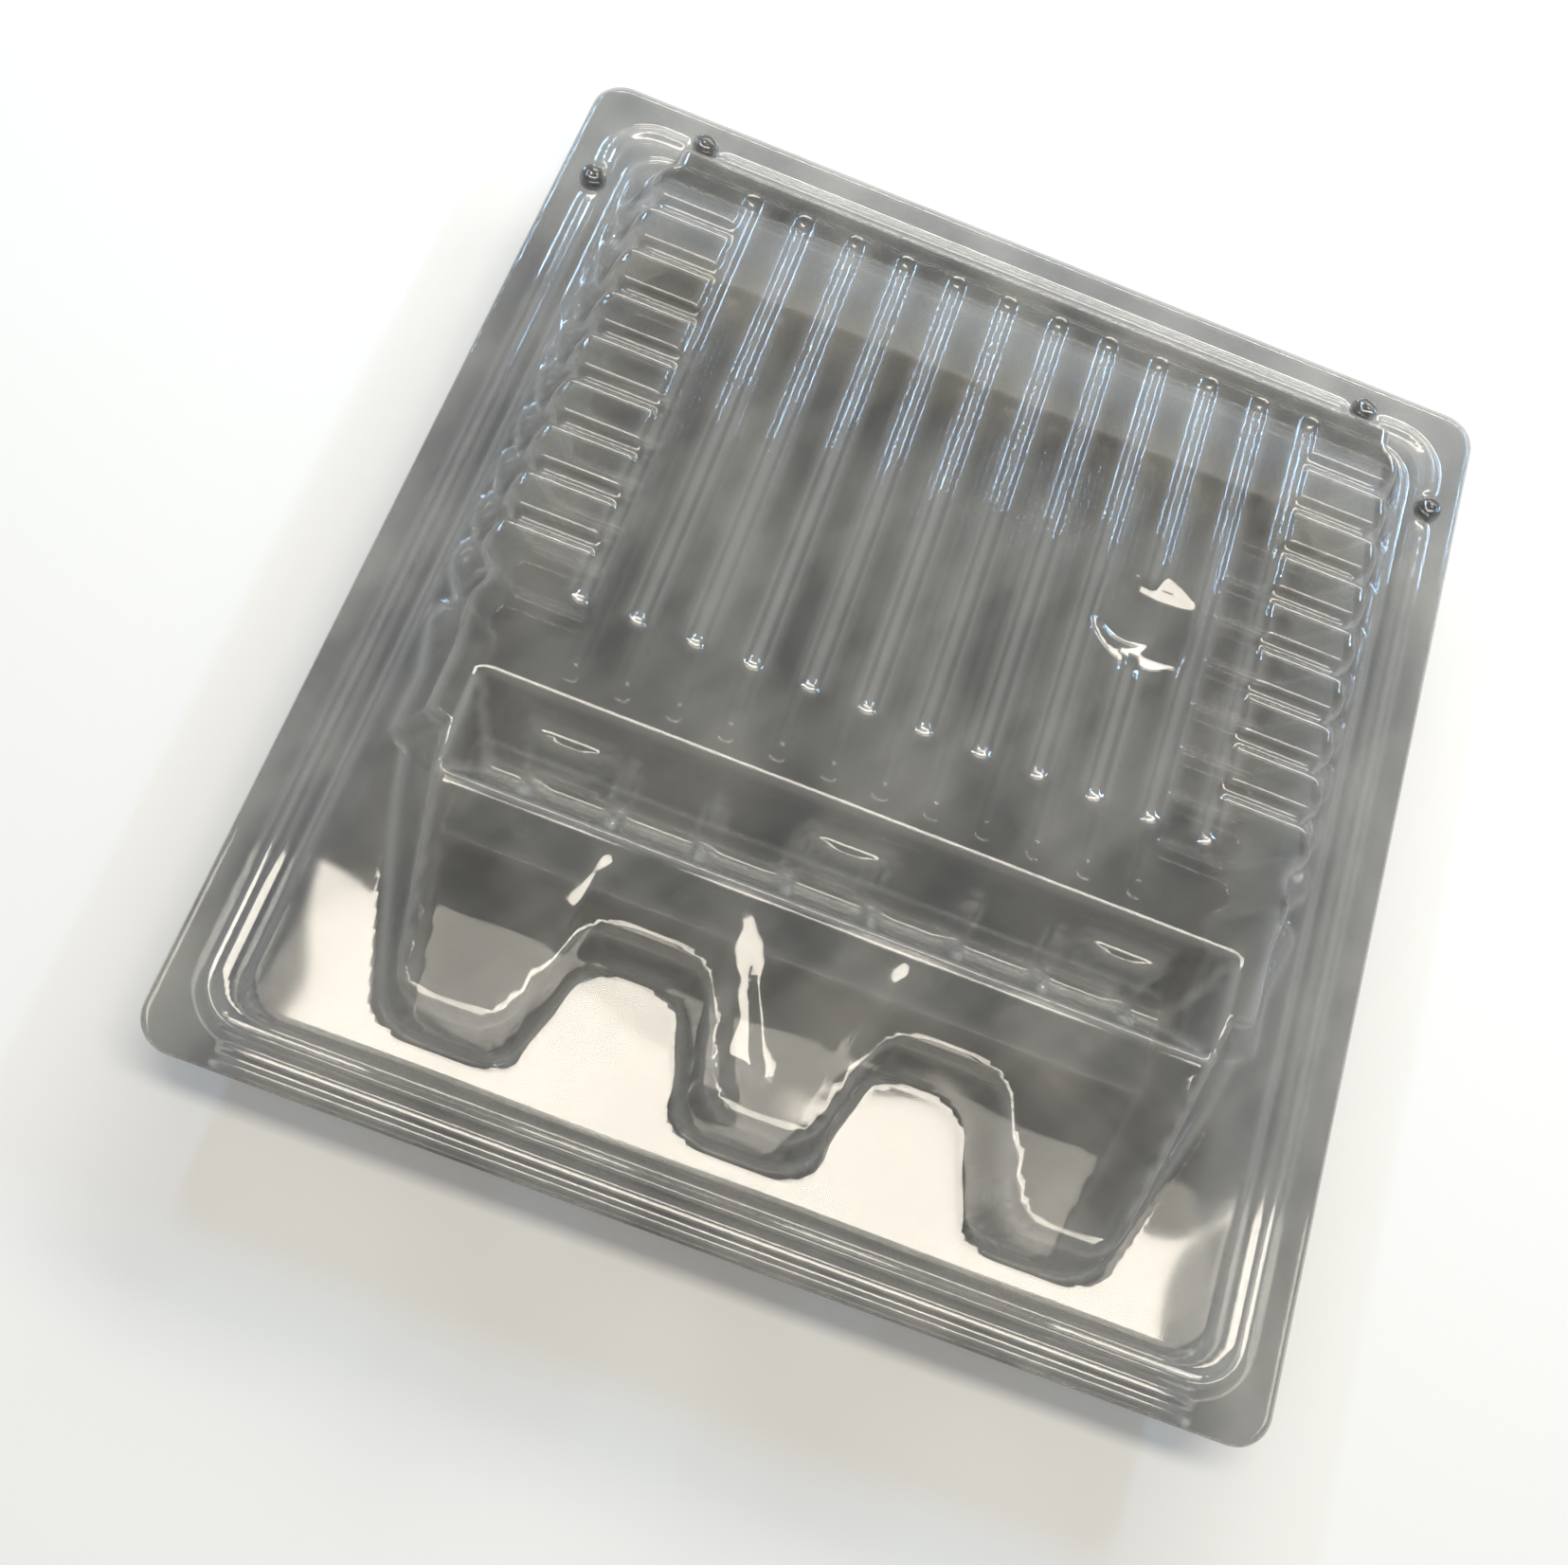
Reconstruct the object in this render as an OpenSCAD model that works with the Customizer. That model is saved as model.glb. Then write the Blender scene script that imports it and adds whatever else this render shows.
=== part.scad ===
// Clear thermoformed shipping pack for three small plants.
// Two matching shells of thin sheet meet at a flat flange and turn about a living hinge.
// The far part of each shell is a broad grooved leaf chamber, the near part holds three root cells.
// Distances named from_far are measured from the opening edge of the flange.

/* [Sheet and flange] */
// Width of the flange, across the pack
flange_w = 180; // [168:1:200]
// Length of the flange, from the opening edge to the hinge
flange_l = 195; // [190:1:215]
// Corner radius of the flange
flange_r = 6; // [3:0.5:10]
// Thickness of the formed sheet
sheet_t = 0.5; // [0.4:0.05:0.7]
// Height of one shell, from the mating face of its flange to its outer face
shell_h = 15.5; // [13:0.5:22]
// Running gap between the two flanges when the pack is shut
flange_gap = 0.2; // [0.1:0.05:0.4]

/* [Flange bead and low step] */
// Distance of the bead's middle from the side edges of the flange
bead_from_side = 6.7; // [5:0.1:8]
// Distance of the bead's middle from the opening edge
bead_from_far = 7.5; // [6:0.1:8.5]
// Distance of the bead's middle from the hinge edge
bead_from_hinge = 6.6; // [6:0.1:8]
// Width of the bead at its foot
bead_w = 3.4; // [2.6:0.1:4]
// Height of the bead above the mating face
bead_h = 1.5; // [1.1:0.1:2]
// Distance of the low step from the side edges of the flange
step_from_side = 11.2; // [10.5:0.1:11.8]
// Distance of the low step from the opening edge
step_from_far = 12.5; // [11.5:0.1:14]
// Height of the low step above the mating face
step_h = 2; // [1.2:0.1:3]

/* [Leaf chamber] */
// Distance of the chamber's far wall, at its foot, from the opening edge
chamber_from_far = 17.8; // [15:0.1:22]
// Lean of the walls, as the shift of the top edge
wall_lean = 2.5; // [1.5:0.1:4]
// Distance from the opening edge to the crease between chamber and trough
trough_from_far = 126.8; // [118:0.2:130]
// Half the width of the top at the ends of the side flutes
top_half_w = 71; // [68:0.5:73]
// Number of stiffening grooves along the chamber
groove_count = 12; // [8:2:12]
// Distance between the grooves
groove_pitch = 9.7; // [8:0.05:9.8]
// Width of a groove at its mouth
groove_w = 3.2; // [2.6:0.1:4]
// Depth of the grooves
groove_depth = 1.2; // [0.6:0.1:1.8]
// Length of the grooves
groove_l = 85; // [70:1:88]
// Number of half-round flutes along each side
flute_count = 9; // [5:1:10]
// Distance between the flutes
flute_pitch = 9.5; // [8:0.1:9.6]

/* [Trough and root cells] */
// Length of the trough from crease to crease
trough_l = 17.4; // [15:0.1:20]
// Half the width of the trough at its floor
trough_half_w = 58; // [52:0.5:60]
// Distance between the root cells
cell_pitch = 47.4; // [44:0.2:49]
// Width of a cell's flat top beside the trough
cell_top_w = 28; // [24:0.5:30]
// Width of a cell's flat top at its near end
cell_end_w = 16.4; // [12:0.2:18]
// Lean of the cell walls, as the shift of the top edge
cell_lean = 2; // [1.5:0.1:3]
// Distance from the opening edge to the near end of the cells, at their foot
cells_end_from_far = 180; // [176:0.5:182]
// Distance from the opening edge to the niches between the cells
niche_from_far = 160; // [156:0.5:164]
// Width of a niche at its tip, on the low step
niche_w = 15; // [13:0.5:18]

/* [Hinge and press studs] */
// Height of the two ridges beside the hinge fold
hinge_ridge_h = 0.9; // [0.7:0.1:1.2]
// Radius of a press stud on the lower shell
stud_r = 1.7; // [1.2:0.1:2]
// Height of a press stud above its flange
stud_h = 1.3; // [0.8:0.1:1.6]
// Clearance of a stud in its cap
stud_gap = 0.25; // [0.15:0.05:0.35]

/* [Dent in the lid] */
// Depth of the dent
dent_depth = 2.2; // [0.5:0.1:3]
// Radius of the dent where it meets the panel
dent_r = 10; // [6:0.5:14]

/* [Hidden] */
$fn = 16;
eps = 0.01;
bead_r = 9;
step_r = 7;
chamber_r = 6;
// The hollow runs this far past the mating face so that it opens there
open_cut = 1;
top_crease = shell_h;
trough_mid = trough_from_far + 0.58 * trough_l;
trough_end = trough_from_far + trough_l;
floor_l = 2;
ledge_z = 0.71 * shell_h;
chamber_half_w = flange_w / 2 - step_from_side - 1;
crown_deep = 6;
crown_half_w = 9;
wall_rib_pitch = 14.4;
wall_rib_w = 2.4;
cell_round = 5;
waist_round = 2.5;
waist = trough_end + 2.8;
waist_half_w = chamber_half_w - 7.8;
block_far = trough_from_far - 14;
round_steps = 5;
groove_floor_w = 1.3;
groove_from_wall = 7.2;
flute_mid = chamber_from_far + 48.9;
ledge_from_crease = [3.3, 2.1];
dent_x = 35;
dent_from_far = 76;
hinge_ridges = [3.8, 1.6];
hinge_ridge_w = 1.5;
stud_far = 6.6;
stud_side = 6.2;
stud_along = 22.6;
stud_pad_r = stud_r + stud_gap + sheet_t + 0.9;

// World Y of a distance measured from the opening edge
function from_far(d) = flange_l / 2 - d;

// Rectangle between two distances from the opening edge
module strip(half_w, far, near) {
    translate([-half_w, from_far(near)]) square([2 * half_w, near - far]);
}

module rounded(r) {
    offset(r = r) offset(delta = -r) children();
}

// Solid between a first outline at z0 and a second at z1
module loft(z0, z1) {
    hull() {
        translate([0, 0, z0]) linear_extrude(eps) children(0);
        translate([0, 0, z1 - eps]) linear_extrude(eps) children(1);
    }
}

// Solid between two counter-clockwise outlines, point to point
module outline_loft(z0, p0, z1, p1) {
    n = len(p0);
    polyhedron(
        points = [for (p = p0) [p[0], p[1], z0], for (p = p1) [p[0], p[1], z1]],
        faces = [
            [for (i = [0 : n - 1]) i],
            [for (i = [0 : n - 1]) 2 * n - 1 - i],
            for (i = [0 : n - 1]) each let (j = (i + 1) % n) [[i, i + n, j + n], [i, j + n, j]]]);
}

// Solid between two rectangles, each given as [left, right, distance to far side, to near side]
module box_loft(z0, r0, z1, r1) {
    function ring(r) = [
        [r[0], from_far(r[3])], [r[1], from_far(r[3])],
        [r[1], from_far(r[2])], [r[0], from_far(r[2])]];
    outline_loft(z0, ring(r0), z1, ring(r1));
}

function unit(v) = v / norm(v);

// Outline through counter-clockwise corners [x, distance from far, rounding], moved inward by c
function outline(corners, c) =
    let (n = len(corners), p = [for (k = corners) [k[0], from_far(k[1])]])
    [for (i = [0 : n - 1])
        let (
            d_in = unit(p[i] - p[(i + n - 1) % n]),
            d_out = unit(p[(i + 1) % n] - p[i]),
            n_in = [-d_in[1], d_in[0]],
            n_out = [-d_out[1], d_out[0]],
            q = p[i] + c * (n_in + n_out) / (1 + n_in * n_out))
        for (k = [0 : round_steps])
            let (s = k / round_steps)
            q + corners[i][2] * (s * s * d_out - (1 - s) * (1 - s) * d_in)];

// Right side of an outline, from near to far, followed by its mirror image
function mirrored(right) = [
    each right,
    for (i = [len(right) - 1 : -1 : 0]) [-right[i][0], right[i][1], right[i][2]]];

module both_sides() {
    children();
    mirror([1, 0, 0]) children();
}

// Foot level of a form: the hollow starts below the mating face
function foot(c) = c > 0 ? -open_cut : 0;

module bead(c) {
    far = bead_from_far - bead_w / 2;
    near = flange_l - bead_from_hinge + bead_w / 2;
    half_w = flange_w / 2 - bead_from_side + bead_w / 2;
    translate([0, 0, foot(c)])
        linear_extrude(bead_h - c - foot(c))
            difference() {
                offset(delta = -c) rounded(bead_r) strip(half_w, far, near);
                offset(delta = c) rounded(bead_r - 3)
                    strip(half_w - bead_w, far + bead_w, near - bead_w);
                at_studs() circle(stud_pad_r + c);
            }
}

module low_step(c) {
    lean = 0.6;
    near = flange_l - bead_from_hinge - bead_w / 2 - 0.7;
    half_w = flange_w / 2 - step_from_side;
    loft(foot(c), step_h - c) {
        offset(delta = -c) rounded(step_r) strip(half_w, step_from_far, near);
        offset(delta = -c) rounded(step_r - lean)
            strip(half_w - lean, step_from_far + lean, near - lean);
    }
}

// Half-round pillar at the end of each side flute, which scallops the side wall
module side_pillars(c) {
    pillar_r = flute_pitch / 2 + 0.35;
    for (i = [0 : flute_count - 1])
        translate([0, from_far(flute_mid + (i - (flute_count - 1) / 2) * flute_pitch)])
            both_sides()
                loft(foot(c), top_crease - c) {
                    translate([chamber_half_w - pillar_r, 0])
                        circle(pillar_r - c);
                    translate([top_half_w - pillar_r, 0])
                        circle(pillar_r - 0.4 - c);
                }
}

module chamber(c) {
    inset = 3.2;
    loft(foot(c), top_crease - c) {
        offset(delta = -c) rounded(chamber_r)
            strip(chamber_half_w - inset, chamber_from_far, trough_mid);
        offset(delta = -c) rounded(chamber_r)
            strip(top_half_w - inset, chamber_from_far + wall_lean, trough_mid);
    }
    side_pillars(c);
}

// Corners of the block that carries the root cells, its walls drawn in by this lean
function block_corners(side_half_w, waist_x, lean) =
    let (
        mid = cell_pitch / 2,
        end_half = cell_end_w / 2 + cell_lean - lean,
        tip_half = niche_w / 2 + lean,
        near = cells_end_from_far - lean,
        tip = niche_from_far - lean)
    mirrored([
        [end_half, near, cell_round],
        [mid - tip_half, tip, cell_round],
        [mid + tip_half, tip, cell_round],
        [cell_pitch - end_half, near, cell_round],
        [cell_pitch + end_half, near, cell_round],
        [waist_x, waist, waist_round],
        [side_half_w, block_far, waist_round]]);

// Block between the trough and the low step: three root cells and the sloping walls at its sides
module root_block(c) {
    at_foot = block_corners(chamber_half_w, waist_half_w, 0);
    at_top = block_corners(top_half_w - 1, cell_pitch + cell_top_w / 2 + 0.6, cell_lean);
    outline_loft(foot(c), outline(at_foot, c), top_crease - c, outline(at_top, c));
}

// Half the width of a groove's cutter 1 mm above the panel
function groove_mouth(c) =
    groove_floor_w / 2 + c + (groove_w - groove_floor_w) / 2 * (groove_depth + 1) / groove_depth;

// Long grooves along the panel
module grooves(c) {
    far = chamber_from_far + groove_from_wall;
    floor_half = groove_floor_w / 2 + c;
    mouth_half = groove_mouth(c);
    for (i = [0 : groove_count - 1])
        translate([(i - (groove_count - 1) / 2) * groove_pitch, 0, 0])
            box_loft(
                top_crease - groove_depth - c, [-floor_half, floor_half, far + 1 - c, far + groove_l - 1 + c],
                top_crease + 1, [-mouth_half, mouth_half, far - 1 - c, far + groove_l + 1 + c]);
}

// Short grooves between the side flutes, from the outermost long groove out through the scallops
module side_grooves(c) {
    inner = (groove_count - 1) / 2 * groove_pitch - groove_floor_w / 2;
    outer = top_half_w + 6;
    floor_half = groove_floor_w / 2 + c;
    mouth_half = groove_mouth(c);
    for (i = [0 : flute_count - 2]) {
        mid = flute_mid + (i - (flute_count - 2) / 2) * flute_pitch;
        both_sides()
            box_loft(
                top_crease - groove_depth - c, [inner, outer, mid - floor_half, mid + floor_half],
                top_crease + 1, [inner, outer + 1, mid - mouth_half, mid + mouth_half]);
    }
}

// Cross trough with a ledge on its far side
module trough(c) {
    far_ledge = trough_from_far + ledge_from_crease[0];
    near_ledge = trough_end - ledge_from_crease[1];
    ledge_half = trough_half_w + 3.5 + c;
    floor_half = trough_half_w + c;
    top_half = trough_half_w + 5 + c;
    difference() {
        union() {
            box_loft(
                step_h - c,
                [-floor_half, floor_half, trough_mid - floor_l / 2 - c, trough_mid + floor_l / 2 + c],
                ledge_z, [-ledge_half, ledge_half, far_ledge - c, near_ledge + c]);
            box_loft(
                ledge_z, [-ledge_half, ledge_half, far_ledge - c, near_ledge + c],
                top_crease, [-top_half, top_half, trough_from_far - c, trough_end + c]);
        }
        wall_ribs(c);
        crowns(c);
    }
}

// Upright ribs on the far wall of the trough
module wall_ribs(c) {
    half = wall_rib_w / 2 - c;
    for (i = [-3.5 : 3.5])
        translate([i * wall_rib_pitch, 0, 0])
            box_loft(
                foot(c), [-half, half, trough_from_far, trough_mid - c],
                ledge_z - 1 - c, [-half, half, trough_from_far, trough_from_far + 5.5 - c]);
}

// Half-round crowns that stand out of the far wall over each root cell
module crowns(c) {
    for (i = [-1 : 1])
        translate([i * (cell_pitch - 1), from_far(trough_from_far + 0.6)])
            loft(foot(c), ledge_z - c) {
                scale([(crown_half_w + 1 - c) / crown_deep, 1]) circle(crown_deep + 1.2 - c);
                scale([(crown_half_w - c) / crown_deep, 1]) circle(crown_deep - c);
            }
}

module hinge_ridges(c) {
    for (d = hinge_ridges)
        translate([0, from_far(flange_l - d), foot(c)])
            linear_extrude(hinge_ridge_h - c - foot(c))
                square([flange_w - 4 * flange_r - 2 * c, hinge_ridge_w - 2 * c], center = true);
}

// Places of the press studs, two beside each far corner
module at_studs() {
    both_sides() {
        translate([flange_w / 2 - stud_along, from_far(stud_far)]) children();
        translate([flange_w / 2 - stud_side, from_far(stud_along)]) children();
    }
}

// Sphere that presses the dent into the panel
module dent(c) {
    ball_r = (dent_r * dent_r + dent_depth * dent_depth) / (2 * dent_depth);
    translate([dent_x, from_far(dent_from_far), top_crease - dent_depth + ball_r - c])
        sphere(ball_r, $fn = 32);
}

// Cap in the lid that snaps over a press stud
module stud_caps(c) {
    cap_r = stud_r + stud_gap + sheet_t - c;
    at_studs()
        translate([0, 0, foot(c)])
            cylinder(h = stud_h + stud_gap + sheet_t - c - foot(c), r = cap_r);
}

// What stands out of the flange: the outer face at c = 0, the hollow at c = sheet_t
module form(c, is_lid) {
    difference() {
        union() {
            bead(c);
            low_step(c);
            chamber(c);
            root_block(c);
        }
        grooves(c);
        side_grooves(c);
        trough(c);
        if (is_lid) dent(c);
    }
    hinge_ridges(c);
    if (is_lid) stud_caps(c);
}

// One formed sheet, with its mating face at z = 0 and its outer face up
module sheet(is_lid) {
    difference() {
        union() {
            linear_extrude(sheet_t) rounded(flange_r) square([flange_w, flange_l], center = true);
            form(0, is_lid);
        }
        form(sheet_t, is_lid);
    }
}

module base_shell() {
    color([0.24, 0.25, 0.25, 0.6])
        difference() {
            union() {
                translate([0, 0, shell_h]) mirror([0, 0, 1]) sheet(false);
                at_studs() translate([0, 0, shell_h - sheet_t / 2])
                    cylinder(h = stud_h + sheet_t / 2, r = stud_r);
            }
            at_studs() translate([0, 0, shell_h - 2 * sheet_t])
                cylinder(h = stud_h + sheet_t, r = stud_r - sheet_t);
        }
}

module lid_shell() {
    color([0.24, 0.25, 0.25, 0.6])
        translate([0, 0, shell_h + flange_gap]) sheet(true);
}

base_shell();
lid_shell();
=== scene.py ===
"""Looks of a clear formed clamshell pack: two thin sheets with soft formed edges, on a pale floor."""
import math

import bmesh
import bpy
import numpy as np
from mathutils import Matrix, Quaternion, Vector


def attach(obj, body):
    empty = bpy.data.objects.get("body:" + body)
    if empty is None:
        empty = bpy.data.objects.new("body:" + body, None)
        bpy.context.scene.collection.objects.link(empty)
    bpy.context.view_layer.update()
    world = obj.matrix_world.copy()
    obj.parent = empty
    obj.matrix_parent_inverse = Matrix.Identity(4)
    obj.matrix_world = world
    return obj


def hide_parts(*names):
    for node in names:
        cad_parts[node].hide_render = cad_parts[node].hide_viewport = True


MM = 0.001
UNCUT = 1e3  # height where a cutter leaves everything

# Flange and sheet, in millimetres. Distances named FROM_FAR start at the opening edge.
FLANGE_W = 180.0
FLANGE_L = 195.0
FLANGE_R = 6.0
SHEET_T = 0.5
SHELL_H = 15.5
FLANGE_GAP = 0.2  # between the two flanges, for the hinge to turn

# Bead, low step and hinge ridges
BEAD_FROM_SIDE = 6.7
BEAD_FROM_FAR = 7.5
BEAD_FROM_HINGE = 6.6
BEAD_W = 3.4
BEAD_H = 1.5
BEAD_R = 8.0
STEP_FROM_SIDE = 11.2
STEP_FROM_FAR = 12.5
STEP_H = 2.0
STEP_R = 7.0
STEP_RUN = 0.6
HINGE_RIDGES = (3.8, 1.6)
HINGE_RIDGE_W = 1.5
HINGE_RIDGE_H = 0.9
FOOT_SPREAD = 0.6  # how much wider a bead starts than the width that shows
PLATEAU_SAG = 0.1  # depth of the low step's long waves

# Leaf chamber
CHAMBER_FROM_FAR = 17.8
WALL_LEAN = 2.5
CHAMBER_HALF_W = FLANGE_W / 2 - STEP_FROM_SIDE - 1
TOP_HALF_W = 71.0
SIDE_INSET = 3.2  # how far the flat wall stands behind the pillars' fronts
PILLAR_GROW = -0.4  # change of the pillars' radius from foot to top
GROOVE_COUNT = 12
GROOVE_PITCH = 9.7
GROOVE_W = 3.2
GROOVE_FLOOR_W = 1.3
GROOVE_DEPTH = 1.2
GROOVE_L = 85.0
GROOVE_END_RUN = 0.9
GROOVES_FROM_FAR = CHAMBER_FROM_FAR + 7.2
FLUTE_COUNT = 9
FLUTE_PITCH = 9.5
PILLAR_R = FLUTE_PITCH / 2 + 0.35
FLUTE_MID = CHAMBER_FROM_FAR + 48.9

# Trough and root cells
TROUGH_FROM_FAR = 126.8
TROUGH_L = 17.4
TROUGH_MID = TROUGH_FROM_FAR + 0.58 * TROUGH_L
TROUGH_END = TROUGH_FROM_FAR + TROUGH_L
TROUGH_HALF_W = 58.0
LEDGE_Z = 0.71 * SHELL_H
MOUTH_BESIDE = 5.0
LEDGE_BESIDE = 3.5
LEDGE_FROM_FAR = TROUGH_FROM_FAR + 3.3
LEDGE_END = TROUGH_END - 2.1
WALL_RIB_COUNT = 8
WALL_RIB_PITCH = 14.4
WALL_RIB_W = 2.4
CROWN_HALF_W = 9.0
CROWN_DEEP = 6.0
CROWN_LEAN = 1.2
CELL_PITCH = 47.4
CELL_TOP_W = 28.0
CELL_END_W = 16.4
CELL_LEAN = 2.0
CELL_ROUND = 5.0
WAIST_FROM_FAR = TROUGH_END + 2.8
FOOT_WAIST_X = CHAMBER_HALF_W - 7.8
TOP_WAIST_X = CELL_PITCH + CELL_TOP_W / 2 + 0.6
WAIST_ROUND = 2.5
BLOCK_FROM_FAR = TROUGH_FROM_FAR - 14
CELLS_END_FROM_FAR = 180.0
NICHE_FROM_FAR = 160.0
NICHE_W = 15.0
CELL_TOP_RISE = 0.8
FOLD_START = 13.6  # folds lie this far right of each cell's middle at the trough
FOLD_DRIFT = 6.6
FOLD_DEPTH = 0.28
FOLD_HALF_W = 0.7
WEDGE_START = 12.5  # the wedge starts this far left of the middle
WEDGE_DRIFT = 7.0
WEDGE_TIP = 0.4
WEDGE_SPREAD = 2.8
WEDGE_DEPTH = 1.2
PANEL_WAVES = 0.015  # depth of the sheet's waves on the panel
BLOCK_WAVES = 0.04  # what the root block has on top of it

# Press studs
STUD_R = 1.7
STUD_H = 1.3
STUD_GAP = 0.25
STUD_SHOULDER = 0.6
STUD_PAD_R = STUD_R + STUD_GAP + SHEET_T + 0.9
STUD_FAR = 6.6
STUD_SIDE = 6.2
STUD_ALONG = 22.6

# Dent in the lid
DENT_X = 35.0
DENT_FROM_FAR = 76.0
DENT_R = 10.0
DENT_DEPTH = 2.2
DENT_CREASE_R = 9.0
DENT_CREASE_DEPTH = 0.35
DENT_CREASE_W = 0.9

# Grid that the form is worked out on, and how far formed edges are rounded
FINE_STEP = 0.32
EDGE_ROUND = 0.26
# How far to each side slopes and bends are read, and the bend that counts as full
SLOPE_REACH = 0.4
BEND_REACH = 1
SHARPEST_BEND = 1.5
# Mesh lines beside each groove, as distances from its middle, and in bands of (end, spacing) elsewhere
BESIDE_GROOVE = (0.35, 0.9, 1.35, 1.75, 2.3)
BESIDE_SIDE_GROOVE = (0.5, 1.2, 1.7, 2.4)
SIDE_BANDS = ((69.0, 1.0), (86.2, 0.66), (90.0, 1.25))
FAR_BANDS = ((5.0, 1.25), (26.0, 0.7), (30.0, 1.4))
NEAR_BANDS = ((113.0, 1.2), (124.0, 2.2), (146.0, 0.75), (184.0, 1.1), (195.0, 0.65))

# Camera, fitted to the four corners of the flange in the photograph
CAM_AT = (-0.0242, -0.1216, 0.2658)
CAM_AIM = (-0.0126, -0.0230, 0.0156)
CAM_ROLL = math.radians(27.2)
CAM_LENS = 37.55
CAM_SENSOR = 36
CAM_CLIP = 0.01

# Clear sheet: a thin tint between two greys by the haze, and a painted highlight as a paler colour along
# bends
SHEET_ALPHA = 0.3
SHEET_IOR = 1.8
COAT_ROUGHNESS = 0.04
ROUGHNESS = (0.035, 0.08)
DARK_TINT = (0.05, 0.048, 0.043, 1)
PALE_TINT = (0.28, 0.27, 0.24, 1)
TINT_AT = (0.15, 0.9)
# Painted highlight: a pale colour mixed into the sheet's colour along its bends, standing in for the
# glints there, and how much of it goes in
BEND_GLINT_TINT = (0.55, 0.545, 0.52, 1)
BEND_GLINT_SHARE = 0.8
HAZE_LENGTHS = (41, 34, 27, 21, 16, 12, 9, 6.5, 5, 3.7)
HAZE_DEPTH = 0.011
HAZE_SEED = 5

# Floor and surroundings
FLOOR_HALF = 3.0
FLOOR_COLOUR = (0.92, 0.92, 0.91, 1)
FLOOR_ROUGHNESS = 0.9
FLOOR_SPECULAR = 0.1
WORLD_COLOUR = (1.0, 0.985, 0.96, 1)
WORLD_STRENGTH = 0.26

# Lamps: name, place, aim, size, watts, colour, and whether they stay level from front to back
LAMPS = (
    ("warm_key", (0.075, 0.05, 0.8), (0.075, 0.05, 0.0), (0.61, 0.13), 3.3, (1.0, 0.93, 0.81), True),
    ("warm_back", (0.1, 1.0, 0.52), (0, 0.05, 0), (1.1, 0.16), 9, (1.0, 0.93, 0.82), False),
    ("cool_left", (-0.5, 0.62, 0.5), (0, 0.62, 0), (0.03, 0.28), 2.7, (0.4, 0.68, 1.0), True),
    ("cool_right", (0.5, 0.62, 0.5), (0, 0.62, 0), (0.03, 0.28), 2.7, (0.4, 0.68, 1.0), True),
)


def from_far(distance):
    return FLANGE_L / 2 - distance


def ramp(value, start, end):
    """0 at start, 1 at end, straight between."""
    return np.clip((value - start) / (end - start), 0, 1)


def bump(distance, width):
    """Round-topped ridge of this width about distance 0."""
    return np.where(np.abs(distance) < width / 2, np.cos(np.pi * distance / width) ** 2, 0) ** 0.6


def loft(x, y, foot, top, rounding=0.03):
    """0 on the first outline and 1 on the second, both convex and counter-clockwise, corner to corner."""
    total = np.zeros_like(x)
    for i in range(len(foot)):
        inside = []
        for outline in (foot, top):
            (ax, ay), (bx, by) = outline[i], outline[(i + 1) % len(outline)]
            span = math.hypot(bx - ax, by - ay)
            inside.append(((bx - ax) * (y - ay) - (by - ay) * (x - ax)) / span)
        steep = np.maximum(inside[0] - inside[1], 1e-3)
        total += np.exp(-np.clip(inside[0] / steep, -3, 3) / rounding)
    return -rounding * np.log(total)


def rect(half_w, far, near, mid=0.0):
    return [
        (mid - half_w, from_far(near)), (mid + half_w, from_far(near)),
        (mid + half_w, from_far(far)), (mid - half_w, from_far(far)),
    ]


def to_round_rect(x, y, half_w, far, near, radius):
    """Distance to a rounded rectangle, negative inside."""
    mid = from_far((far + near) / 2)
    qx = np.abs(x) - half_w + radius
    qy = np.abs(y - mid) - (near - far) / 2 + radius
    outside = np.hypot(np.maximum(qx, 0), np.maximum(qy, 0))
    return outside + np.minimum(np.maximum(qx, qy), 0) - radius


def stud_places():
    """Middles of the press studs."""
    places = []
    for side in (-1, 1):
        places.append((side * (FLANGE_W / 2 - STUD_ALONG), from_far(STUD_FAR)))
        places.append((side * (FLANGE_W / 2 - STUD_SIDE), from_far(STUD_ALONG)))
    return places


def flange_relief(x, y):
    """Bead, low step and hinge ridges."""
    near = FLANGE_L - BEAD_FROM_HINGE
    to_bead = to_round_rect(x, y, FLANGE_W / 2 - BEAD_FROM_SIDE, BEAD_FROM_FAR, near, BEAD_R)
    bead = BEAD_H * bump(to_bead, BEAD_W + FOOT_SPREAD)
    for sx, sy in stud_places():
        bead *= ramp(np.hypot(x - sx, y - sy), STUD_PAD_R - 0.5, STUD_PAD_R + 0.5)
    step_near = near - BEAD_W / 2 - 0.7
    to_step = to_round_rect(x, y, FLANGE_W / 2 - STEP_FROM_SIDE, STEP_FROM_FAR, step_near, STEP_R)
    height = np.maximum(bead, STEP_H * ramp(-to_step, 0, STEP_RUN))
    ends = ramp(FLANGE_W / 2 - 2 * FLANGE_R - np.abs(x), 0, 1.5)
    for d in HINGE_RIDGES:
        ridge = HINGE_RIDGE_H * bump(y - from_far(FLANGE_L - d), HINGE_RIDGE_W + 0.4) * ends
        height = np.maximum(height, ridge)
    return height


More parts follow.
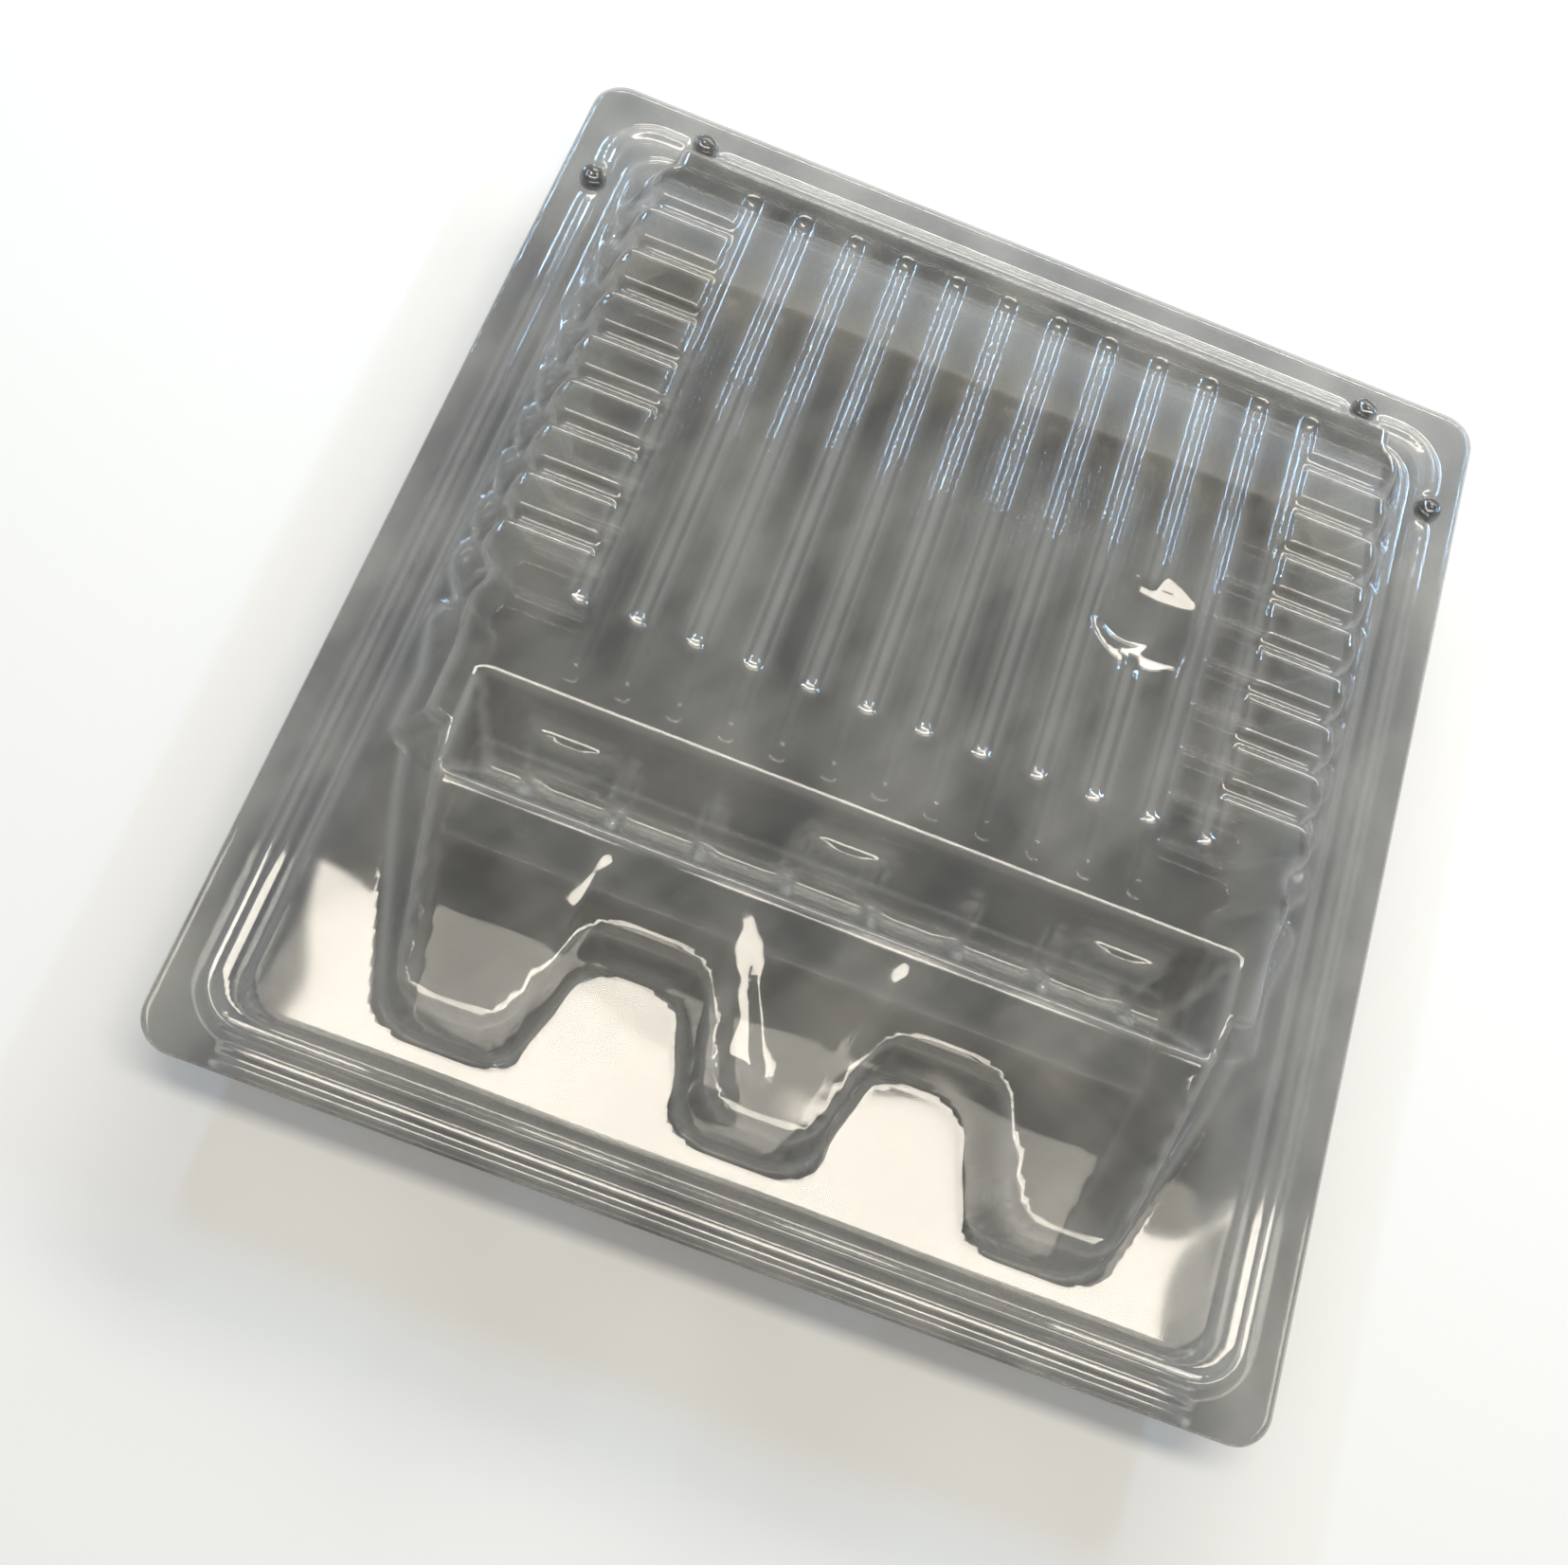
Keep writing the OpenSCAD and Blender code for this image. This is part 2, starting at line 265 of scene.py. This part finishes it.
def chamber(x, y):
    """Leaf chamber with half-round pillars along its sides."""
    core = loft(
        x, y,
        rect(CHAMBER_HALF_W - SIDE_INSET, CHAMBER_FROM_FAR, TROUGH_MID),
        rect(TOP_HALF_W - SIDE_INSET, CHAMBER_FROM_FAR + WALL_LEAN, TROUGH_MID + 0.1),
    )
    share = core
    shift = TOP_HALF_W - CHAMBER_HALF_W
    a = shift**2 - PILLAR_GROW**2
    for i in range(FLUTE_COUNT):
        px = np.abs(x) - CHAMBER_HALF_W + PILLAR_R
        py = y - from_far(FLUTE_MID + (i - (FLUTE_COUNT - 1) / 2) * FLUTE_PITCH)
        b = px * shift + PILLAR_R * PILLAR_GROW
        c = px**2 + py**2 - PILLAR_R**2
        root = np.maximum(b**2 - a * c, 0)
        cone = np.where(b**2 > a * c, (b + np.sqrt(root)) / a, -1)
        share = np.maximum(share, cone)
    return np.clip(share, 0, 1) * SHELL_H


def rounded_outline(right, steps=6):
    """Outline with rounded corners, from the (x, y, rounding) corners of its right side, near to far."""
    corners = np.array(right + [(-x, y, turn) for x, y, turn in reversed(right)])
    at, turn = corners[:, :2], corners[:, 2:]
    go_in = at - np.roll(at, 1, 0)
    go_in /= np.hypot(go_in[:, :1], go_in[:, 1:])
    go_out = np.roll(go_in, -1, 0)
    t = np.linspace(0, 1, steps)[:, None, None]
    arcs = at + turn * (t**2 * go_out - (1 - t) ** 2 * go_in)
    return arcs.transpose(1, 0, 2).reshape(-1, 2)


def depth_inside(x, y, outline):
    """Distance to an outline of any shape, positive inside it."""
    nearest = np.full_like(x, 1e9)
    inside = np.zeros(x.shape, bool)
    for (ax, ay), (bx, by) in zip(outline, np.roll(outline, -1, 0)):
        dx, dy = bx - ax, by - ay
        t = np.clip(((x - ax) * dx + (y - ay) * dy) / (dx * dx + dy * dy), 0, 1)
        nearest = np.minimum(nearest, np.hypot(x - ax - t * dx, y - ay - t * dy))
        if ay != by:
            crosses = ((ay > y) != (by > y)) & (x < ax + (y - ay) * dx / dy)
            inside ^= crosses
    return np.where(inside, nearest, -nearest)


def root_block(x, y):
    """Block that carries the root cells, with the niches between them."""
    depths = []
    for lean, side, waist_x in (
        (0, CHAMBER_HALF_W, FOOT_WAIST_X),
        (CELL_LEAN, TOP_HALF_W - 1, TOP_WAIST_X),
    ):
        end_half = CELL_END_W / 2 + CELL_LEAN - lean
        tip_half = NICHE_W / 2 + lean
        near = from_far(CELLS_END_FROM_FAR - lean)
        tip = from_far(NICHE_FROM_FAR - lean)
        depths.append(depth_inside(x, y, rounded_outline([
            (end_half, near, CELL_ROUND),
            (CELL_PITCH / 2 - tip_half, tip, CELL_ROUND),
            (CELL_PITCH / 2 + tip_half, tip, CELL_ROUND),
            (CELL_PITCH - end_half, near, CELL_ROUND),
            (CELL_PITCH + end_half, near, CELL_ROUND),
            (waist_x, from_far(WAIST_FROM_FAR), WAIST_ROUND),
            (side, from_far(BLOCK_FROM_FAR), WAIST_ROUND),
        ])))
    to_foot, to_top = depths
    share = to_foot / np.maximum(to_foot - to_top, 1e-3)
    return np.where(to_foot > 0, np.clip(share, 0, 1), 0) * SHELL_H


def cut(x, y, mouth, floor, z_mouth, z_floor, rounding=0.03):
    """Height left by a cutter whose mouth and floor are these outlines."""
    share = loft(x, y, mouth, floor, rounding)
    return np.where(share > 0, z_mouth + (z_floor - z_mouth) * np.clip(share, 0, 1), UNCUT)


def side_groove_places():
    """Distances from the opening edge to the grooves between the side flutes."""
    return [FLUTE_MID + (i - (FLUTE_COUNT - 2) / 2) * FLUTE_PITCH for i in range(FLUTE_COUNT - 1)]


def grooves(x, y):
    """Long grooves along the panel, and short ones from the outermost out between the side flutes."""
    height = np.full_like(x, UNCUT)
    mouth_half, floor_half = GROOVE_W / 2, GROOVE_FLOOR_W / 2
    bottom = SHELL_H - GROOVE_DEPTH
    near = GROOVES_FROM_FAR + GROOVE_L
    for i in range(GROOVE_COUNT):
        mid = (i - (GROOVE_COUNT - 1) / 2) * GROOVE_PITCH
        mouth = rect(mouth_half, GROOVES_FROM_FAR, near, mid)
        floor = rect(floor_half, GROOVES_FROM_FAR + GROOVE_END_RUN, near - GROOVE_END_RUN, mid)
        height = np.minimum(height, cut(x, y, mouth, floor, SHELL_H, bottom))
    inner = (GROOVE_COUNT - 1) / 2 * GROOVE_PITCH
    run = TOP_HALF_W - inner + 8
    for place in side_groove_places():
        mouth = rect(run / 2, place - mouth_half, place + mouth_half, inner + run / 2)
        floor = rect(run / 2 - 0.1, place - floor_half, place + floor_half, inner + run / 2)
        height = np.minimum(height, cut(np.abs(x), y, mouth, floor, SHELL_H, bottom))
    return height


def trough(x, y):
    """Cross trough with its ledge, cross ribs and crowns."""
    mouth = rect(TROUGH_HALF_W + MOUTH_BESIDE, TROUGH_FROM_FAR, TROUGH_END)
    ledge = rect(TROUGH_HALF_W + LEDGE_BESIDE, LEDGE_FROM_FAR, LEDGE_END)
    upper = cut(x, y, mouth, ledge, SHELL_H, LEDGE_Z)
    lower = cut(x, y, ledge, rect(TROUGH_HALF_W, TROUGH_MID - 1, TROUGH_MID + 1), LEDGE_Z, STEP_H)
    height = np.minimum(upper, lower)
    to_far = ramp(from_far(TROUGH_MID) - y, 0, TROUGH_FROM_FAR + 5.5 - TROUGH_MID)
    to_near = ramp(y, from_far(TROUGH_MID - 1.5), from_far(TROUGH_END - 4))
    rib_z = (LEDGE_Z - 1) * np.maximum(to_far, to_near)
    for i in range(WALL_RIB_COUNT):
        on_rib = np.abs(x - (i - (WALL_RIB_COUNT - 1) / 2) * WALL_RIB_PITCH) < WALL_RIB_W / 2
        height = np.where(on_rib & (height < SHELL_H), np.maximum(height, rib_z), height)
    for i in (-1, 0, 1):
        px = x - i * (CELL_PITCH - 1)
        py = y - from_far(TROUGH_FROM_FAR + 0.6)
        foot_deep = CROWN_DEEP + CROWN_LEAN
        foot_w = (CROWN_HALF_W + 1) / CROWN_DEEP * foot_deep
        to_foot = 1 - np.hypot(px / foot_w, py / foot_deep)
        to_top = 1 - np.hypot(px / CROWN_HALF_W, py / CROWN_DEEP)
        share = np.clip(to_foot / np.maximum(to_foot - to_top, 1e-3), 0, 1)
        height = np.where(to_foot > 0, np.maximum(height, LEDGE_Z * share), height)
    return height


def cell_tops(x, y):
    """Tops of the root cells: they rise to their near ends, with a fold each and one flattened wedge."""
    d = FLANGE_L / 2 - y
    height = SHELL_H - CELL_TOP_RISE * (1 - ramp(d, NICHE_FROM_FAR - 3, CELLS_END_FROM_FAR - 2))
    for i in (-1, 0, 1):
        along = ramp(d, TROUGH_END + 3, CELLS_END_FROM_FAR - 3)
        to_fold = x - i * CELL_PITCH - (FOLD_START - FOLD_DRIFT * along)
        on_fold = ramp(along, 0, 0.06) * ramp(along, 1, 0.9)
        height = height - FOLD_DEPTH * np.exp(-((to_fold / FOLD_HALF_W) ** 2)) * on_fold
    along = ramp(d, TROUGH_END + 2, NICHE_FROM_FAR + 11)
    to_wedge = np.abs(x + WEDGE_START - WEDGE_DRIFT * along) / (WEDGE_TIP + WEDGE_SPREAD * along)
    inside = ramp(to_wedge, 1.25, 0.85) * ramp(d, NICHE_FROM_FAR + 13, NICHE_FROM_FAR + 10)
    height = height - WEDGE_DEPTH * along * inside
    return np.where(d > TROUGH_END, height, UNCUT)


def dent(x, y):
    """Dent in the lid, with a curved crease where the sheet buckled."""
    ball_r = (DENT_R**2 + DENT_DEPTH**2) / (2 * DENT_DEPTH)
    px = x - DENT_X
    py = y - from_far(DENT_FROM_FAR)
    r = np.hypot(px, py)
    bowl = SHELL_H - DENT_DEPTH + ball_r - np.sqrt(np.maximum(ball_r**2 - r**2, 0))
    to_crease = np.hypot(px + 4.0, py - 5.0) - DENT_CREASE_R
    crease = DENT_CREASE_DEPTH * np.exp(-((to_crease / DENT_CREASE_W) ** 2)) * ramp(-px - py, -4, 4)
    return np.where(r < DENT_R, bowl - crease, UNCUT)


def waviness(x, y):
    """Slight unevenness of the formed bodies, always downward and less on the panel."""
    waves = np.sin(x / 8.3 + 1.1) * np.sin(y / 9.7 + 0.4)
    waves += 0.6 * np.sin(x / 4.1 + y / 5.3) + 0.5 * np.sin(x / 13 - y / 3.7 + 2)
    edge = from_far(TROUGH_FROM_FAR)
    depth = PANEL_WAVES + BLOCK_WAVES * ramp(y, edge + 3, edge - 3)
    return depth * (waves - 2.1)


def plateau_sag(x, y):
    """Long soft waves of the flat step round the bodies, always downward."""
    waves = np.sin(x / 9 + 0.6) * np.sin(y / 7 + 0.5) + 0.8 * np.sin(x / 16 + y / 11)
    return PLATEAU_SAG * (waves - 1.8)


def soften(height, sigma):
    """Gaussian blur of a grid, which rounds the formed edges."""
    reach = int(3 * sigma) + 1
    kernel = np.exp(-0.5 * (np.arange(-reach, reach + 1) / sigma) ** 2)
    kernel /= kernel.sum()
    for axis in (0, 1):
        pad = [(reach, reach) if k == axis else (0, 0) for k in (0, 1)]
        padded = np.pad(height, pad, mode="edge")
        height = np.apply_along_axis(np.convolve, axis, padded, kernel, "valid")
    return height


def form(is_lid):
    """Height of a shell's outer face above its mating face, on a fine grid."""
    xs = np.arange(-FLANGE_W / 2, FLANGE_W / 2 + FINE_STEP / 2, FINE_STEP)
    ys = np.linspace(-FLANGE_L / 2, FLANGE_L / 2, round(FLANGE_L / FINE_STEP) + 1)
    x, y = np.meshgrid(xs, ys)
    body = np.maximum(chamber(x, y), root_block(x, y))
    for hollow in (grooves, trough, cell_tops):
        body = np.minimum(body, hollow(x, y))
    if is_lid:
        body = np.minimum(body, dent(x, y))
    on_body = ramp(body, STEP_H, STEP_H + 2)
    body = body + waviness(x, y) * on_body
    relief = flange_relief(x, y)
    relief = relief + plateau_sag(x, y) * ramp(relief, STEP_H - 0.6, STEP_H - 0.1)
    height = np.maximum(np.maximum(body, relief), SHEET_T)
    return xs, ys, np.minimum(soften(height, EDGE_ROUND / FINE_STEP), SHELL_H)


def add_bands(places, bands):
    """Mesh lines through bands of (end, spacing), on from the last line."""
    for end, spacing in bands:
        count = math.ceil((end - places[-1]) / spacing)
        places.extend(np.linspace(places[-1], end, count + 1)[1:])
    return places


def lines_across():
    """Mesh lines from the middle to the side, closest beside the grooves."""
    places = [0.0, 1.25]
    for i in range(GROOVE_COUNT // 2):
        mid = (i + 0.5) * GROOVE_PITCH
        places += [mid - d for d in BESIDE_GROOVE[::-1]] + [mid + d for d in BESIDE_GROOVE]
        places += [mid + 3.6, mid + 4.85, mid + 6.1]
    return np.array(add_bands(places, SIDE_BANDS))


def lines_along():
    """Mesh lines from the opening edge to the hinge, closest beside the side grooves."""
    places = add_bands([0.0], FAR_BANDS)
    for place in side_groove_places():
        places += [place - d for d in BESIDE_SIDE_GROOVE[::-1]] + [place + d for d in BESIDE_SIDE_GROOVE]
        places.append(place + 4.75)
    return np.array(add_bands(places, NEAR_BANDS))


def sample(xs, ys, grid, x, y):
    """Value of a regular grid between its points."""
    u = np.clip((x - xs[0]) / (xs[1] - xs[0]), 0, len(xs) - 1.001)
    v = np.clip((y - ys[0]) / (ys[1] - ys[0]), 0, len(ys) - 1.001)
    i, j = u.astype(int), v.astype(int)
    fu, fv = u - i, v - j
    low = grid[j, i] * (1 - fu) + grid[j, i + 1] * fu
    high = grid[j + 1, i] * (1 - fu) + grid[j + 1, i + 1] * fu
    return low * (1 - fv) + high * fv


def beside(xs, ys, grid, x, y, reach):
    """Values to the left, to the right, nearer and farther."""
    return [
        sample(xs, ys, grid, x + dx, y + dy)
        for dx, dy in ((-reach, 0), (reach, 0), (0, -reach), (0, reach))
    ]


def into_round_corner(x, y):
    """Moves points past the flange's round corners onto them."""
    cx = FLANGE_W / 2 - FLANGE_R
    cy = FLANGE_L / 2 - FLANGE_R
    px, py = np.abs(x) - cx, np.abs(y) - cy
    r = np.hypot(px, py)
    out = (px > 0) & (py > 0)
    reach = np.maximum(px, py)
    scale = np.where(out & (r > 0), reach / np.maximum(r, 1e-9), 1)
    return (
        np.where(out, np.sign(x) * (cx + px * scale), x),
        np.where(out, np.sign(y) * (cy + py * scale), y),
    )


def cloud(x, y):
    """Soft uneven haze over the sheet, 0 to 1, from crossing waves of many lengths."""
    random = np.random.default_rng(HAZE_SEED)
    total = np.zeros_like(x)
    for length in HAZE_LENGTHS:
        angle, phase = random.uniform(0, 2 * math.pi, 2)
        along = x * math.cos(angle) + y * math.sin(angle)
        total += length**0.7 * np.sin(2 * math.pi * along / length + phase)
    return np.clip(0.5 + HAZE_DEPTH * total, 0, 1)


def sheet_mesh(name, is_lid):
    """Closed thin sheet: outer face, inner face and rim."""
    xs, ys, grid = form(is_lid)
    half = lines_across()
    gx = np.concatenate([-half[:0:-1], half])
    gy = from_far(lines_along())[::-1]
    x, y = np.meshgrid(gx, gy)
    x, y = into_round_corner(x, y)
    h = sample(xs, ys, grid, x, y)
    left, right, low, high = beside(xs, ys, grid, x, y, SLOPE_REACH)
    slope_x = (right - left) / (2 * SLOPE_REACH)
    slope_y = (high - low) / (2 * SLOPE_REACH)
    length = np.sqrt(1 + slope_x**2 + slope_y**2)
    edge = np.zeros_like(x, bool)
    edge[0], edge[-1], edge[:, 0], edge[:, -1] = True, True, True, True
    push = np.where(edge, 0, SHEET_T / length)
    ix, iy = x + slope_x * push, y + slope_y * push
    ih = np.maximum(h - np.where(edge, SHEET_T, SHEET_T / length), 0)
    left, right, low, high = beside(xs, ys, grid, x, y, BEND_REACH)
    bend = np.abs(right + left + high + low - 4 * h)
    flip = 1 if is_lid else -1
    base_z = SHELL_H + FLANGE_GAP if is_lid else SHELL_H
    outer = np.stack([x, y, base_z + flip * h], -1).reshape(-1, 3) * MM
    inner = np.stack([ix, iy, base_z + flip * ih], -1).reshape(-1, 3) * MM
    rows, cols = x.shape
    n = rows * cols
    idx = np.arange(n).reshape(rows, cols)
    quads = np.stack([idx[:-1, :-1], idx[:-1, 1:], idx[1:, 1:], idx[1:, :-1]], -1).reshape(-1, 4)
    ring = np.concatenate([idx[0, :-1], idx[:-1, -1], idx[-1, :0:-1], idx[:0:-1, 0]])
    rim = np.stack([ring, ring + n, np.roll(ring, -1) + n, np.roll(ring, -1)], -1)
    faces = np.concatenate([quads, quads[:, ::-1] + n, rim])
    if not is_lid:
        faces = faces[:, ::-1]
    mesh = bpy.data.meshes.new(name)
    mesh.from_pydata(np.concatenate([outer, inner]).tolist(), [], faces.tolist())
    # Bend strength from 0 to 1: the mask for the painted highlight along bends
    crease = np.clip(bend / SHARPEST_BEND, 0, 1)
    for attribute, values in (("crease", crease), ("cloud", cloud(x, y))):
        layer = mesh.attributes.new(attribute, "FLOAT", "POINT")
        layer.data.foreach_set("value", np.tile(values.ravel(), 2).astype(np.float32))
    mesh.update()
    return mesh


def lathe(bm, middle, profile, segments=28):
    """Turns a closed (radius, height) profile about a vertical axis."""
    rings = []
    for r, z in profile:
        ring = []
        for k in range(segments):
            a = 2 * math.pi * k / segments
            ring.append(bm.verts.new((middle[0] + r * math.cos(a), middle[1] + r * math.sin(a), z)))
        rings.append(ring)
    for i in range(len(rings)):
        a, b = rings[i], rings[(i + 1) % len(rings)]
        for k in range(segments):
            m = (k + 1) % segments
            bm.faces.new((a[k], a[m], b[m], b[k]))


def stud_profile(radius, height, wall, low):
    """Closed section of a hollow round stud with a rounded shoulder, in millimetres."""
    turn = STUD_SHOULDER
    arc = [math.radians(a) for a in (0, 30, 60, 90)]
    outer = [(radius - turn + turn * math.cos(a), height - turn + turn * math.sin(a)) for a in arc]
    small = turn - wall / 2
    inner_r, inner_h = radius - wall, height - wall
    inner = [(inner_r - small + small * math.cos(a), inner_h - small + small * math.sin(a)) for a in arc]
    return [(radius + 0.1, low), *outer, (0.02, height), (0.02, inner_h), *inner[::-1], (inner_r, low)]


def add_studs(mesh, is_lid):
    """Caps on the lid's flange, studs on the base's."""
    bm = bmesh.new()
    bm.from_mesh(mesh)
    if is_lid:
        flange_z = SHELL_H + FLANGE_GAP
        wider = STUD_GAP + SHEET_T
        profile = stud_profile(STUD_R + wider, STUD_H + wider, SHEET_T, SHEET_T / 2)
    else:
        flange_z = SHELL_H
        profile = stud_profile(STUD_R, STUD_H, SHEET_T, -SHEET_T / 2)
    for sx, sy in stud_places():
        lathe(bm, (sx * MM, sy * MM), [(r * MM, (flange_z + z) * MM) for r, z in profile])
    bmesh.ops.remove_doubles(bm, verts=bm.verts, dist=0.00001)
    bmesh.ops.recalc_face_normals(bm, faces=bm.faces)
    bm.to_mesh(mesh)
    bm.free()
    for face in mesh.polygons:
        face.use_smooth = True


def socket(node, name, value):
    node.inputs[name].default_value = value


def clear_sheet():
    """Smoke-clear formed plastic: thin uneven grey tint, with a painted highlight as a paler colour along
    hard bends.
    """
    mat = bpy.data.materials.new("clear_sheet")
    mat.use_nodes = True
    nodes, link = mat.node_tree.nodes, mat.node_tree.links.new
    shader = nodes["Principled BSDF"]
    socket(shader, "Alpha", SHEET_ALPHA)
    socket(shader, "IOR", SHEET_IOR)
    socket(shader, "Coat Weight", 1.0)
    socket(shader, "Coat Roughness", COAT_ROUGHNESS)
    haze = nodes.new("ShaderNodeAttribute")
    haze.attribute_name = "cloud"
    tint = nodes.new("ShaderNodeValToRGB")
    stops = tint.color_ramp.elements
    for stop, position, colour in zip(stops, TINT_AT, (DARK_TINT, PALE_TINT)):
        stop.position = position
        stop.color = colour
    link(haze.outputs["Fac"], tint.inputs["Fac"])
    # Painted highlight: the bend mask mixes a pale colour into the base colour along bends
    crease = nodes.new("ShaderNodeAttribute")
    crease.attribute_name = "crease"
    pale = nodes.new("ShaderNodeMix")
    pale.data_type = "RGBA"
    socket(pale, "B", BEND_GLINT_TINT)
    soft = nodes.new("ShaderNodeMath")
    soft.operation = "MULTIPLY"
    socket(soft, 1, BEND_GLINT_SHARE)
    link(crease.outputs["Fac"], soft.inputs[0])
    link(soft.outputs[0], pale.inputs["Factor"])
    link(tint.outputs["Color"], pale.inputs["A"])
    link(pale.outputs["Result"], shader.inputs["Base Color"])
    rough = nodes.new("ShaderNodeMapRange")
    socket(rough, "To Min", ROUGHNESS[0])
    socket(rough, "To Max", ROUGHNESS[1])
    link(haze.outputs["Fac"], rough.inputs["Value"])
    link(rough.outputs["Result"], shader.inputs["Roughness"])
    return mat


def shell(node, body, is_lid, material):
    mesh = sheet_mesh(node + "_sheet", is_lid)
    add_studs(mesh, is_lid)
    mesh.materials.append(material)
    piece = bpy.data.objects.new(node + "_sheet", mesh)
    bpy.context.scene.collection.objects.link(piece)
    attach(piece, body)
    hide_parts(node)


def floor():
    mesh = bpy.data.meshes.new("floor")
    s = FLOOR_HALF
    mesh.from_pydata([(-s, -s, 0), (s, -s, 0), (s, s, 0), (-s, s, 0)], [], [(0, 1, 2, 3)])
    mat = bpy.data.materials.new("floor")
    mat.use_nodes = True
    shader = mat.node_tree.nodes["Principled BSDF"]
    socket(shader, "Base Color", FLOOR_COLOUR)
    socket(shader, "Roughness", FLOOR_ROUGHNESS)
    socket(shader, "Specular IOR Level", FLOOR_SPECULAR)
    mesh.materials.append(mat)
    obj = bpy.data.objects.new("floor", mesh)
    bpy.context.scene.collection.objects.link(obj)


def lamp(name, at, aim, size, power, colour, flat):
    """Rectangular lamp; a flat one turns from side to side only."""
    data = bpy.data.lights.new(name, "AREA")
    data.shape = "RECTANGLE"
    data.size, data.size_y = size
    data.energy = power
    data.color = colour
    obj = bpy.data.objects.new(name, data)
    obj.location = at
    down = Vector(aim) - Vector(at)
    turn = Matrix.Rotation(math.atan2(-down.x, -down.z), 3, "Y") if flat else None
    turn = turn or down.to_track_quat("-Z", "Y").to_matrix()
    obj.rotation_euler = turn.to_euler()
    bpy.context.scene.collection.objects.link(obj)


def lights():
    for row in LAMPS:
        lamp(*row)
    world = bpy.data.worlds.new("world")
    world.use_nodes = True
    back = world.node_tree.nodes["Background"]
    socket(back, "Color", WORLD_COLOUR)
    socket(back, "Strength", WORLD_STRENGTH)
    bpy.context.scene.world = world


def camera():
    data = bpy.data.cameras.new("camera")
    data.lens = CAM_LENS
    data.sensor_width = CAM_SENSOR
    data.clip_start = CAM_CLIP
    obj = bpy.data.objects.new("camera", data)
    turn = (Vector(CAM_AIM) - Vector(CAM_AT)).to_track_quat("-Z", "Y")
    obj.rotation_mode = "QUATERNION"
    obj.rotation_quaternion = turn @ Quaternion((0, 0, 1), CAM_ROLL)
    obj.location = CAM_AT
    bpy.context.scene.collection.objects.link(obj)
    bpy.context.scene.camera = obj


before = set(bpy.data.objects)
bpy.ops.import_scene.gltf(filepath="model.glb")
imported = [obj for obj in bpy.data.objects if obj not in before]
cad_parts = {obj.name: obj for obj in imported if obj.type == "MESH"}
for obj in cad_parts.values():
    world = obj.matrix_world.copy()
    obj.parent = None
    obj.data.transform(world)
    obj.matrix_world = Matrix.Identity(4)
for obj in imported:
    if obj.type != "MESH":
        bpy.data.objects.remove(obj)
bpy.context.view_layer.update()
camera()
lights()
floor()
plastic = clear_sheet()
shell("base_shell", "base", False, plastic)
shell("lid_shell", "lid", True, plastic)
bpy.context.scene.view_settings.view_transform = "Standard"
bpy.context.scene.cycles.adaptive_threshold = 0.05
bpy.context.scene.cycles.max_bounces = 2
bpy.context.scene.cycles.diffuse_bounces = 1
bpy.context.scene.cycles.glossy_bounces = 1
